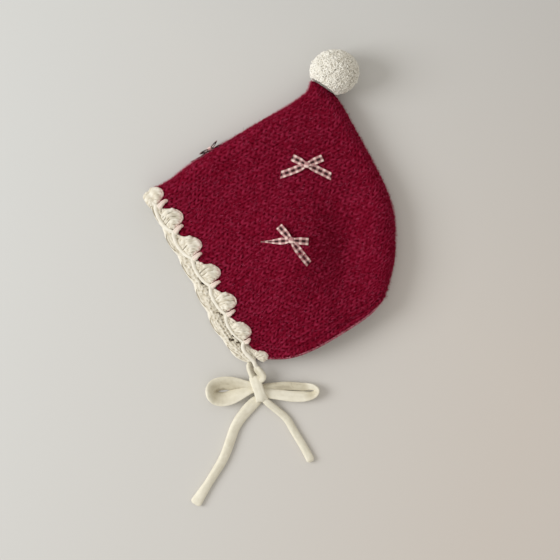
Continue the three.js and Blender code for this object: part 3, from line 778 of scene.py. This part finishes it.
def crown():
    piece = Piece()
    across, up = (closing_shares(length, KNIT_SPACING, FOLD_RADIUS) for length in (HOOD_DEPTH, FACE_LENGTH))
    near, near_uv, near_height, _ = knit_sheet(True, across, up, 1.6)
    far, far_uv, far_height, _ = knit_sheet(False, across[::2], up[::2], 1.2)
    # The fine layer's points between two of the coarse layer's lie on the line between them.
    near[-1, 1::2] = (near[-1, :-1:2] + near[-1, 2::2]) / 2
    near[1::2, -1] = (near[:-1:2, -1] + near[2::2, -1]) / 2
    far[-1], far[:, -1] = near[-1, ::2], near[::2, -1]
    # Both layers' tones follow the stitches' heights: painted shade in the grooves and painted light on the
    # raised legs.
    piece.grid(near, near_uv, 0.5 + 0.62 * near_height)
    piece.grid(far, far_uv, 0.5 + 0.62 * far_height, flip=True)
    inner_grid = np.meshgrid(every_fourth(across), every_fourth(up), indexing="ij")
    for upper, outer in ((True, near), (False, far)):
        inner = knit_point(upper, *inner_grid, WALL)
        piece.grid(inner, tone=0.35, flip=upper)
        # The wall's edges at the face and at the neck.
        for edge, inner_edge, at_neck in ((outer[0], inner[0], False), (outer[:, 0], inner[:, 0], True)):
            at = np.linspace(0, len(inner_edge) - 1, len(edge))
            inside = between_rows(at, np.arange(len(inner_edge)), inner_edge)
            way = 1 if at_neck == upper else -1
            outward = unit(np.cross(unit(np.gradient(edge, axis=0)), edge - inside)) * way
            bulge = WALL / 2 * (1.0 if at_neck else 0.4)
            ring = [edge * (1 - part) + inside * part + outward * math.sin(part * math.pi) * bulge
                    for part in np.linspace(0, 1, 7)]
            piece.grid(np.stack(ring, 1), tone=0.45, flip=at_neck != upper)
    piece.move(to_object, 0.05)
    made = piece.make("knitted_crown", wool)
    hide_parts("crown")


def add_fibres(piece, corners, tone, blush=0.0):
    """Adds fibres, each a thin quad of four corners in the hood's own place."""
    piece.quads(no_lower(to_object(np.stack(corners, 1)), 0.1), tone, blush)


def crown_fuzz():
    """Loose fibres of the brushed knit."""
    piece = Piece()
    across, up = (closing_shares(length, 2.0, FOLD_RADIUS) for length in (HOOD_DEPTH, FACE_LENGTH))
    for upper, count in FUZZ_COUNTS:
        sheet, _, _, normal = knit_sheet(upper, across, up, 0.4)
        corner = sheet[:-1, :-1]
        cells = np.linalg.norm(np.cross(sheet[1:, :-1] - corner, sheet[:-1, 1:] - corner), axis=-1)
        share = np.cumsum(cells.reshape(-1)) / cells.sum()
        cell = np.minimum(np.searchsorted(share, rng.random(count)), cells.size - 1)
        i, j = np.divmod(cell, cells.shape[1])
        fi, fj = rng.random((2, count, 1))
        root = (sheet[i, j] * (1 - fi) * (1 - fj) + sheet[i + 1, j] * fi * (1 - fj)
                + sheet[i, j + 1] * (1 - fi) * fj + sheet[i + 1, j + 1] * fi * fj)
        out = normal[i, j]
        wale = unit(sheet[i + 1, j] - sheet[i, j])
        beside = np.cross(out, wale)
        lean = np.where(rng.random(count) < 0.5, 1, -1) * math.radians(22) + rng.normal(0, 0.5, count)
        bend = lean + rng.normal(0, 0.5, count)
        length = rng.uniform(1.6, 4.6, count)[:, None]
        lift = rng.gamma(2.0, 0.33, count)[:, None]
        first, second = (wale * np.cos(angle)[:, None] + beside * np.sin(angle)[:, None]
                         for angle in (lean, bend))
        middle = root + first * length * 0.5 + out * (0.35 + lift)
        tip = middle + second * length * 0.5 + out * (lift * rng.uniform(-0.6, 0.7, count)[:, None])
        half = unit(np.cross(out, first + second)) * rng.uniform(0.07, 0.14, count)[:, None]
        add_fibres(piece, [root, middle + half, tip, middle - half], rng.beta(2, 2.5, count))
    # Fibres that stand out from the ridge fold, the back seam and the neck's edge. Their pale blush is
    # painted glow for lit fibres.
    rims = [(knit_point(True, np.linspace(0.02, 0.99, 300), 1.0, 0.0), 2800, 0.5),
            (knit_point(True, 1.0, np.linspace(0.01, 0.99, 300), 0.0), 1500, 0.35),
            (knit_point(True, np.linspace(0.03, 1.0, 300), 0.0, 0.6), 600, 0.55)]
    middle = knit_point(True, 0.5, 0.5, 0.0)
    for rim, count, painted_glow in rims:
        onward = unit(np.gradient(rim, axis=0))
        away = unit(np.cross(onward, UP))
        away = away * np.sign((away * (rim - middle)).sum(-1, keepdims=True))
        pick = rng.integers(0, len(rim) - 1, count)
        share = rng.random((count, 1))
        root = rim[pick] * (1 - share) + rim[pick + 1] * share + UP * rng.uniform(-1.2, 1.6, (count, 1))
        way = away[pick] + onward[pick] * rng.normal(0, 1.1, (count, 1)) + UP * rng.normal(0, 0.5, (count, 1))
        way = unit(way) * rng.uniform(1.0, 2.6, (count, 1))
        half = unit(np.cross(way, UP)) * rng.uniform(0.06, 0.13, (count, 1))
        bend = root + way * 0.4
        add_fibres(piece, [root - way * 0.3, bend + half, root + way, bend - half], 1.0,
                   painted_glow * rng.uniform(0.2, 1.0, count))
    piece.make("crown_fuzz", fuzz)


# The edging. Its parts are laid out flat, as a distance along the face edge, a reach over the knit and a
# height off it, and then wrapped round the edge.

EDGE_STEPS = 240


def edge_run():
    half = 1 - (1 - np.linspace(0, 1, EDGE_STEPS + 1)) ** 2
    near = knit_point(True, 0.0, half, WALL / 2)
    far = knit_point(False, 0.0, half[::-1], WALL / 2)
    return lengths_along(np.concatenate([near, far[1:]]))


EDGE_RUN = edge_run()
EDGE_LENGTH = float(EDGE_RUN[-1])
PITCH = (EDGE_LENGTH - FIRST_SHELL_INSET - LAST_SHELL_INSET) / (SHELL_COUNT - 1)

# A shell's outline: along the edge from its middle, towards the forehead fold on the near side, and in
# from the line of the chain's necks.
SHELL_OUTLINE = [(12.4, 0.6), (8.3, 3.5), (4.8, 5.2), (3.9, 8.8), (1.6, 12.2), (-2.2, 13.7), (-5.6, 12.5),
                 (-7.9, 9.4), (-9.4, 6.0), (-10.4, 2.8), (-10.2, 0.6)]
SHELL_BASE = [(7.5, -2.2), (3.5, -3.3), (-1.0, -3.7), (-5.5, -3.5), (-9.0, -2.2)]
FOLD_SHELL = (SHELL_COUNT - 1) // 2
FOLD_SHELL_SLIP = 3.0
FOLD_SHELL_OUT = 3.0
SHELL_POSTS = 15
# The first shell is smaller and turned. Its place is from the upper layer's chin corner.
FIRST_SHELL_SIZE = 0.66
FIRST_SHELL_TURN = math.radians(12)
FIRST_SHELL_PLACE = (-4.0, 2.6, 15.2)
# The near chain's last stretch, from the upper layer's chin corner.
NEAR_CHAIN_END = [(-18.3, 8.2, 16.0), (-14.3, 2.2, 15.0), (-9.6, -2.8, 13.8)]


def shell_middle(number):
    return FIRST_SHELL_INSET + number * PITCH


def chain_bulge(along):
    """How far the chain bulges past its necks: less over the fold and on the far side."""
    return (CHAIN_BULGE - CHAIN_NECK) * (1 - 0.5 * smooth((along - 150) / 25))


def end_flare(along):
    """How much further out the edging lies at the far chin."""
    return 5.0 * np.exp(-((along - EDGE_LENGTH + 0.5) / 6) ** 2)


def wrapped(points):
    """Wraps flat points round the face edge."""
    along, reach, off = points[..., 0], points[..., 1], points[..., 2]
    number = np.interp(along, EDGE_RUN, np.arange(len(EDGE_RUN)))
    first, last = EDGE_RUN[1] - EDGE_RUN[0], EDGE_RUN[-1] - EDGE_RUN[-2]
    number = number + np.minimum(along, 0) / first + np.maximum(along - EDGE_LENGTH, 0) / last
    up = 1 - (1 - number / EDGE_STEPS) ** 2
    near = knit_point(True, reach / HOOD_DEPTH, up, -off)
    far = knit_point(False, reach / HOOD_DEPTH, up, -off)
    return np.where((number <= EDGE_STEPS)[..., None], near, far)


def shell(piece, number):
    """One crocheted shell: posts that fan out from the chain over a dome, under a rim of loops."""
    on_fold = number == FOLD_SHELL
    middle = shell_middle(number) - (FOLD_SHELL_SLIP if on_fold else 0)
    sides = [even_curve(rows, 0.5) for rows in (SHELL_BASE, SHELL_OUTLINE)]

    def dome(turn, share, lift=0.0):
        """A place on the shell: turn goes round its outline and share from its base to its rim."""
        turn, share = np.broadcast_arrays(turn, share)
        base, outline = (between_rows(np.clip(turn, 0, 1) * (len(side) - 1), np.arange(len(side)), side)
                         for side in sides)
        flat = base + (outline - base) * share[..., None]
        plump = 0.38 + 0.62 * smooth((turn - 0.1) / 0.25) * (1 - 0.25 * smooth((turn - 0.85) / 0.15))
        high = SHELL_RISE * plump * np.sqrt(np.clip(1 - share ** 3.0, 0, 1)) * smooth(share * 2.5 + 0.2)
        reach = flat[..., 1] - CHAIN_NECK - (FOLD_SHELL_OUT if on_fold else 0)
        sunk = smooth((1.5 - reach) / 5.0)
        off = (high + 0.2) * (1 - sunk) + (high * 0.75 - WALL / 2) * sunk + lift
        return np.stack([middle + flat[..., 0], reach, off], -1)

    turn, share = np.meshgrid(np.linspace(0, 1, 26), np.linspace(0.0, 0.99, 12), indexing="ij")
    top = dome(turn, share, -0.75)
    # The dome under the posts is a darker cream: painted shade where it shows between them.
    piece.slab(top, top - UP * 0.6, tone=0.42)
    at = np.linspace(0.02, 0.985, 26)
    for k in range(SHELL_POSTS):
        aim = (k + 0.5) / SHELL_POSTS + rng.normal(0, 0.012)
        bow = rng.normal(0.0, 0.02)
        path = dome(aim + bow * np.sin(at * math.pi * rng.uniform(0.8, 2.2)), at, -0.1 + rng.normal(0, 0.1))
        room = 1.4 + 2.3 * at ** 1.3
        room = room * np.sqrt(np.clip((1.02 - at) / 0.09, 0.05, 1)) * (1 + 0.16 * rng.normal())
        knots = 0.14 * np.cos(at * (14 + rng.normal(0, 3)) + rng.uniform(0, 6))
        rings = swept(path, room * (1 + knots), room * (0.42 + knots), 9, 2, 0.12, 1.2, k * 1.3)
        shade = 0.68 + 0.13 * rng.normal() + 0.17 * np.cos(at * 17 + rng.uniform(0, 6))
        shade = np.clip(shade + 0.22 * smooth((at - 0.75) / 0.2), 0.34, 1)
        piece.tube(rings, shade[:, None], 0.5 * smooth((at - 0.8) / 0.2)[:, None])
    rim = dome(np.linspace(0.14, 0.97, 60), 0.99, 0.15)
    rim[:, 2] += 0.25 * np.abs(np.sin(np.linspace(0, SHELL_POSTS * math.pi * 0.83, 60)))
    width = 1.5 * blunt(60, 0.07)
    piece.tube(swept(rim, width, width * 0.9, 8, 2, 0.1, 1.6), 0.97, 0.42)


def chain_arc(piece, number):
    """The chain round a shell's base, from the stitch before it to the stitch after it."""
    middle = shell_middle(number)
    neck, bulge = PITCH / 2, chain_bulge(middle)
    marks = [(neck + 1.8, 2.0, -0.3), (neck + 0.2, -0.2, 0.7), (neck * 0.72, -bulge * 0.62, 0.3),
             (neck * 0.3, -bulge * 0.98, 0.0), (-neck * 0.25, -bulge, 0.0),
             (-neck * 0.68, -bulge * 0.66, 0.4), (-neck * 0.95, -0.8, 1.1), (-neck - 2.4, 1.0, 0.4)]
    path = even_curve([(middle + a, n - CHAIN_NECK - end_flare(middle + a), up - WALL / 2 + 0.8)
                       for a, n, up in marks], 0.8)
    count = len(path)
    width = 3.3 * (0.74 + 0.26 * blunt(count, 0.16)) * (1 + 0.05 * np.sin(np.linspace(0, 19, count)))
    width[[0, -1]] *= 0.3
    piece.tube(swept(path, width, width * 0.9, 10, 2, 0.06, 0.9, number), 0.97)


def long_stitch(piece, number):
    """A stitch from the chain's neck over the knit: two strands that taper together."""
    beside_fold = number == FOLD_SHELL
    start = shell_middle(number - 0.5) - (FOLD_SHELL_SLIP if beside_fold else 0)
    lean = 2.4 + rng.normal(0, 0.5)
    reach = STITCH_REACH + rng.normal(0, 0.6) + (1.2 if beside_fold else 0)
    for side in (-0.85, 0.75):
        path = even_curve([(start + side * 1.3 - 0.6, -CHAIN_NECK - 0.2, 0.6),
                           (start + side - 0.5, -0.8, 2.1),
                           (start + side * 0.7 + lean * 0.4, reach * 0.5, 2.3),
                           (start + side * 0.3 + lean, reach, 0.9)], 0.45)
        at = np.linspace(0, 1, len(path))
        width = (2.5 - 1.1 * at) * blunt(len(path), 0.14)
        piece.tube(swept(path, width, width, 8, 2, 0.1, 1.8), 0.95, (0.12 + 0.55 * at)[:, None])


def inner_fabric(piece):
    """The edging's inner side: rows of crochet over the knit's edge. The gaps at the chain's necks, and
    others scattered, are shallow dips painted dark brown as painted shade.
    """
    steps = int(EDGE_LENGTH / 0.75)
    along = np.linspace(-1.5, EDGE_LENGTH + 5.0, steps)
    phase = (along - shell_middle(0)) / PITCH
    outer = CHAIN_NECK + chain_bulge(along) * np.abs(np.cos(phase * math.pi)) ** 0.8 + end_flare(along)
    end = smooth((EDGE_LENGTH + 5.5 - along) / 7.0)
    share = np.linspace(0, 1, 27)
    inner = 9.5 * (0.35 + 0.65 * end)
    reach = -outer[:, None] + (inner + outer)[:, None] * share[None, :]
    a = np.broadcast_to(along[:, None], reach.shape)
    row = (reach + 7.6) / 3.7 + 0.5 * crochet_noise(a / 6 + 5, reach / 5)
    stitch = a / 3.3 + 0.5 * (np.floor(row) % 2) + 0.35 * crochet_noise(a / 7, reach / 4)
    in_row, in_stitch = row - np.floor(row), stitch - np.floor(stitch)
    slope = np.abs(in_stitch - 0.5) * 2
    bump = np.sqrt(np.clip(1 - (in_row - 0.35 - 0.4 * slope) ** 2 / 0.2, 0, 1)) * (1 - 0.35 * slope ** 4)
    rough = crochet_noise(a / 1.3, reach / 1.2)
    near_neck = np.abs(phase - np.floor(phase) - 0.5)[:, None]
    gap = np.exp(-(near_neck / 0.075) ** 2 - ((reach - 1.6) / 2.6) ** 2)
    gap = gap + 0.8 * np.exp(-((near_neck - 0.13) / 0.05) ** 2 - ((reach - 5.0) / 1.5) ** 2)
    scattered_gaps = crochet_noise(a / 1.9 + 9, reach / 1.7)
    gap = gap + 0.75 * smooth((scattered_gaps - 0.45) / 0.3) * smooth((reach - 0.5) / 3)
    # Where the gaps are, the surface dips and is painted dark: painted shade of the hood's inside.
    painted_gap_shade = smooth((gap * (1 + 0.7 * rough) - 0.42) / 0.2)
    off = -WALL / 2 - 0.4 - (WALL / 2 + 0.3) * smooth((reach + 5) / 5) + 0.4 * smooth((reach - 7.5) / 2.0)
    rise = 0.65 * bump + 0.7 * rough - 0.9 * painted_gap_shade
    # Lighter on the raised bumps and roughness, as painted light and shade, and dark in the gaps as painted
    # shade.
    tone = np.clip(0.42 + 0.3 * bump + 0.3 * rough, 0.2, 1) * (1 - painted_gap_shade)
    top = np.stack([a, reach, off - rise], -1)
    bottom = np.stack([a, reach, off + 0.7], -1)
    piece.slab(top, bottom, tone=tone, flip=True)


def scallop_edging():
    piece = Piece()
    shell(piece, 1)
    first_shell = len(piece.points)
    for number in range(1, SHELL_COUNT):
        shell(piece, number)
        chain_arc(piece, number)
        long_stitch(piece, number)
    inner_fabric(piece)
    piece.move(lambda flat: to_object(wrapped(flat)), 0.15)
    # The first shell is made at its neighbour's place and moved down to the chin.
    made = np.concatenate(piece.points[:first_shell])
    middle = (made.min(0) + made.max(0)) / 2
    for points in piece.points[:first_shell]:
        x, y, z = (points - middle).T
        aimed = np.stack([*turned(x, y, FIRST_SHELL_TURN), z], -1)
        points[:] = aimed * FIRST_SHELL_SIZE + FIRST_SHELL_PLACE + CHIN_CORNER
    # The near chain runs on into the right strap.
    neck_place = shell_middle(0.5)
    before = to_object(wrapped(np.array([[neck_place + 1.8, -1.4, -1.0], [neck_place + 0.2, -3.6, 0.0]])))
    after = np.array(NEAR_CHAIN_END + TIE_ROUTES["strap_right"][:2]) + CHIN_CORNER
    path = even_curve(np.concatenate([before, after]), 0.8)
    width = 3.6 * (0.5 + 0.5 * blunt(len(path), 0.2))
    piece.tube(swept(path, width, width, 10, 2, 0.06, 0.9), 0.97)
    made = piece.make("crocheted_edging", crochet)
    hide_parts("scallop_edging")


# The pompom

def pompom():
    """A ball of short curly yarn ends, flat where it is sewn to the hood."""
    outward = heading(POMPOM_ANGLE)
    seat = np.append(back(POMPOM_SHARE), 0.0)
    centre = seat + outward * POMPOM_OUT
    centre[2] = POMPOM_RADIUS - 0.3
    middle = to_object(centre)
    piece = Piece()

    def placed(points):
        points = points + centre
        behind = np.maximum(((seat - points) * outward).sum(-1) - POMPOM_PRESS, 0)
        points = no_lower(points + outward * behind[..., None], 0.15)
        return middle + (to_object(points) - middle) * POMPOM_STRETCH

    angle, level = np.meshgrid(round_turn(60), np.linspace(-1, 1, 34) * 1.5, indexing="ij")
    ball = np.stack([np.cos(angle) * np.cos(level), np.sin(angle) * np.cos(level), np.sin(level)], -1)
    radius = POMPOM_RADIUS - 1.5 + 0.4 * pompom_noise(angle * 5, level * 5)
    piece.grid(placed(ball * radius[..., None]), tone=0.7, round_first=True)
    # The curls start at even places on the ball.
    k = np.arange(CURL_COUNT)
    z = 1 - (2 * k + 1) / CURL_COUNT
    spin = k * math.pi * (3 - math.sqrt(5))
    ring = np.sqrt(1 - z * z)
    at = np.linspace(0, 1, 9)
    for pole in np.stack([ring * np.cos(spin), ring * np.sin(spin), z], -1):
        pole = unit(pole + rng.normal(0, 0.03, 3))
        aside = unit(np.cross(pole, rng.normal(0, 1, 3)))
        beside = np.cross(pole, aside)
        turns = rng.uniform(0.5, 1.0)
        wide = rng.uniform(0.8, 1.5)
        curl = at * turns * 2 * math.pi
        top = POMPOM_RADIUS - 0.9 + rng.normal(0, 0.3)
        rise = top - 1.3 * (2 * at - 1) ** 2
        path = (pole * rise[:, None] + aside * (np.cos(curl) * wide)[:, None]
                + beside * (np.sin(curl) * wide * rng.uniform(0.5, 1.0))[:, None])
        width = rng.uniform(1.0, 1.35) * blunt(9, 0.2)
        # Curls on the side away from the window are painted darker: painted shade.
        shade = 0.84 + 0.1 * rng.normal() - 0.16 * (pole @ POMPOM_SHADED_SIDE)
        piece.tube(placed(swept(path, width, width, 4, facing=pole)), np.clip(shade, 0.2, 1))
    made = piece.make("yarn_pompom", fluff)
    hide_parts("pompom")


# The ribbon bows

def ribbon(piece, path, facing, width, slant=0.0, start=0.0, taper=1.0, cup=0.25, weave=FULL_WEAVE):
    across = np.linspace(-1, 1, 7)[None, :]
    onward = unit(np.gradient(path, axis=0))
    side = unit(np.cross(np.broadcast_to(facing, path.shape), onward))
    out = np.cross(onward, side)[:, None]
    run = lengths_along(path)[:, None]
    ones = np.ones((len(path), 1))
    x = width / 2 * np.reshape(taper, (-1, 1)) * ones * across
    lift = cup * across ** 2 * ones
    shift = slant * across * smooth((run / run[-1] - 0.7) / 0.3)
    points = (path[:, None] + side[:, None] * x[..., None] + out * lift[..., None]
              + onward[:, None] * shift[..., None])
    uv = np.stack([weave[0] + (across / 2 + 0.5) * (weave[1] - weave[0]) * ones,
                   (run + shift + start) / RIBBON_STEP], -1)
    piece.slab(points + out * RIBBON_THICKNESS / 2, points - out * RIBBON_THICKNESS / 2, uv, flip=True)


def bow(name, node, rows, place, weave=FULL_WEAVE):
    """A bow: rows give each loop's or tail's kind, turn in degrees, length, end slant, lift and width."""
    piece = Piece()
    for kind, turn, length, slant, lift, width in rows:
        way = heading(math.radians(turn))
        side = np.cross(UP, way)
        if kind == "loop":
            at = np.linspace(0, 1, 34)
            over = np.cos(at * math.pi)
            far = length * (1 - np.abs(2 * at - 1) ** 2.2)
            height = 0.5 + (LOOP_RISE - 0.5) * (1 - over) / 2 + 0.35 * np.sin(at * math.pi) * over
            path = way * far[:, None] + UP * (height + lift * far / length)[:, None]
            facing = np.cross(unit(np.gradient(path, axis=0)), side)
            pinch = 0.62 + 0.38 * smooth(far / length * 1.8)
            ribbon(piece, path, facing, width, taper=pinch, start=0.9, cup=0.15, weave=weave)
        else:
            at = np.linspace(0, 1, 26)
            height = 0.45 + 1.1 * np.exp(-(at * 3.2) ** 2) + lift * at ** 2 + 0.25 * np.sin(at * 5 + turn)
            sway = 0.5 * np.sin(at * 3.1 + turn) * at
            path = way * (at * length)[:, None] + side * sway[:, None] + UP * height[:, None]
            pinch = 0.6 + 0.4 * smooth(at * 3.0)
            if width < RIBBON_WIDTH:
                pinch = pinch * (1 - 0.85 * smooth((at - 0.2) / 0.8))
            ribbon(piece, path, UP, RIBBON_WIDTH, slant=slant, taper=pinch, start=1.5, weave=weave)
    # The knot: a narrow band of the ribbon over the middle.
    turn = np.linspace(-0.25 * math.pi, 1.25 * math.pi, 22)
    way = np.array([0.2, 1.0, 0]) / math.hypot(0.2, 1.0)
    path = way * (np.cos(turn) * 2.5)[:, None] + UP * (1.9 + np.sin(turn) * 1.9)[:, None]
    facing = way * np.cos(turn)[:, None] + UP * np.sin(turn)[:, None]
    ribbon(piece, path, facing, 4.2, start=4.6, cup=-0.4, weave=(0.03, 0.3))
    piece.move(place, 0.2)
    made = piece.make(name, gingham)
    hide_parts(node)


def on_knit(depth, along):
    """Lays a bow on the upper layer. Its own axes are the whole object's."""
    def place(points):
        x, y = turned(points[:, 0], points[:, 1], -LAY_ANGLE)
        local = np.stack([x + depth * HOOD_DEPTH, y + along * FACE_LENGTH], -1)
        height = upper_height(local) + GAP + points[:, 2]
        return to_object(np.concatenate([local, height[:, None]], -1))

    return place


def on_fold(across):
    """Sets a bow on the fold, facing outward from it."""
    seat, ahead = knit_point(True, np.array([across, across + 0.05]), 1.0, 0.0)
    angle = math.atan2(ahead[1] - seat[1], ahead[0] - seat[0])

    def place(points):
        x, y = turned(points[:, 0], points[:, 2] + 0.35, angle)
        return to_object(seat + np.stack([x, y, -points[:, 1]], -1))

    return place


def make_bows():
    full = RIBBON_WIDTH
    bow("bow_on_peak_side", "bow_upper", [
        ("tail", 202, 23.5, 1.35, 0.0, full), ("tail", -24, 22.8, -1.35, 0.0, full),
        ("loop", 153, 13.6, 0, 0.3, full), ("loop", 24, 14.6, 0, 0.3, full)], on_knit(0.709, 0.1694))
    bow("bow_on_cheek_side", "bow_lower", [
        ("tail", 183, 25.6, 0.0, 0.0, full * 0.55), ("tail", -53, 24.6, -0.5, 0.0, full),
        ("loop", 131, 15.6, 0, 0.5, full), ("loop", -4, 14.4, 0, 0.3, full)], on_knit(0.431, -0.0917))
    # The ridge bow takes only the middle of the check, its darkest part: painted shade for a bow seen
    # edge-on.
    bow("bow_on_ridge", "bow_ridge", [
        ("tail", 172, 19.0, 0.8, 0.0, full), ("tail", -8, 10.0, 0.8, 0.0, full),
        ("loop", 190, 9.6, 0, 1.2, full), ("loop", 4, 8.6, 0, 3.4, full)], on_fold(0.36), (0.36, 0.64))


wool, fuzz = crimson_knit(), crimson_fuzz()
crochet = cream_yarn("cream_crochet", (0.62, 0.56, 0.44), (0.92, 0.88, 0.78))
fluff = cream_yarn("cream_pompom", (0.66, 0.62, 0.54), (0.98, 0.96, 0.89))
straps = cream_yarn("cream_strap", (0.64, 0.59, 0.46), (0.9, 0.86, 0.73), 1400.0)
gingham = checked_ribbon()

make_camera()
make_tie()
crown()
crown_fuzz()
scallop_edging()
pompom()
make_bows()
make_floor()
make_lights()
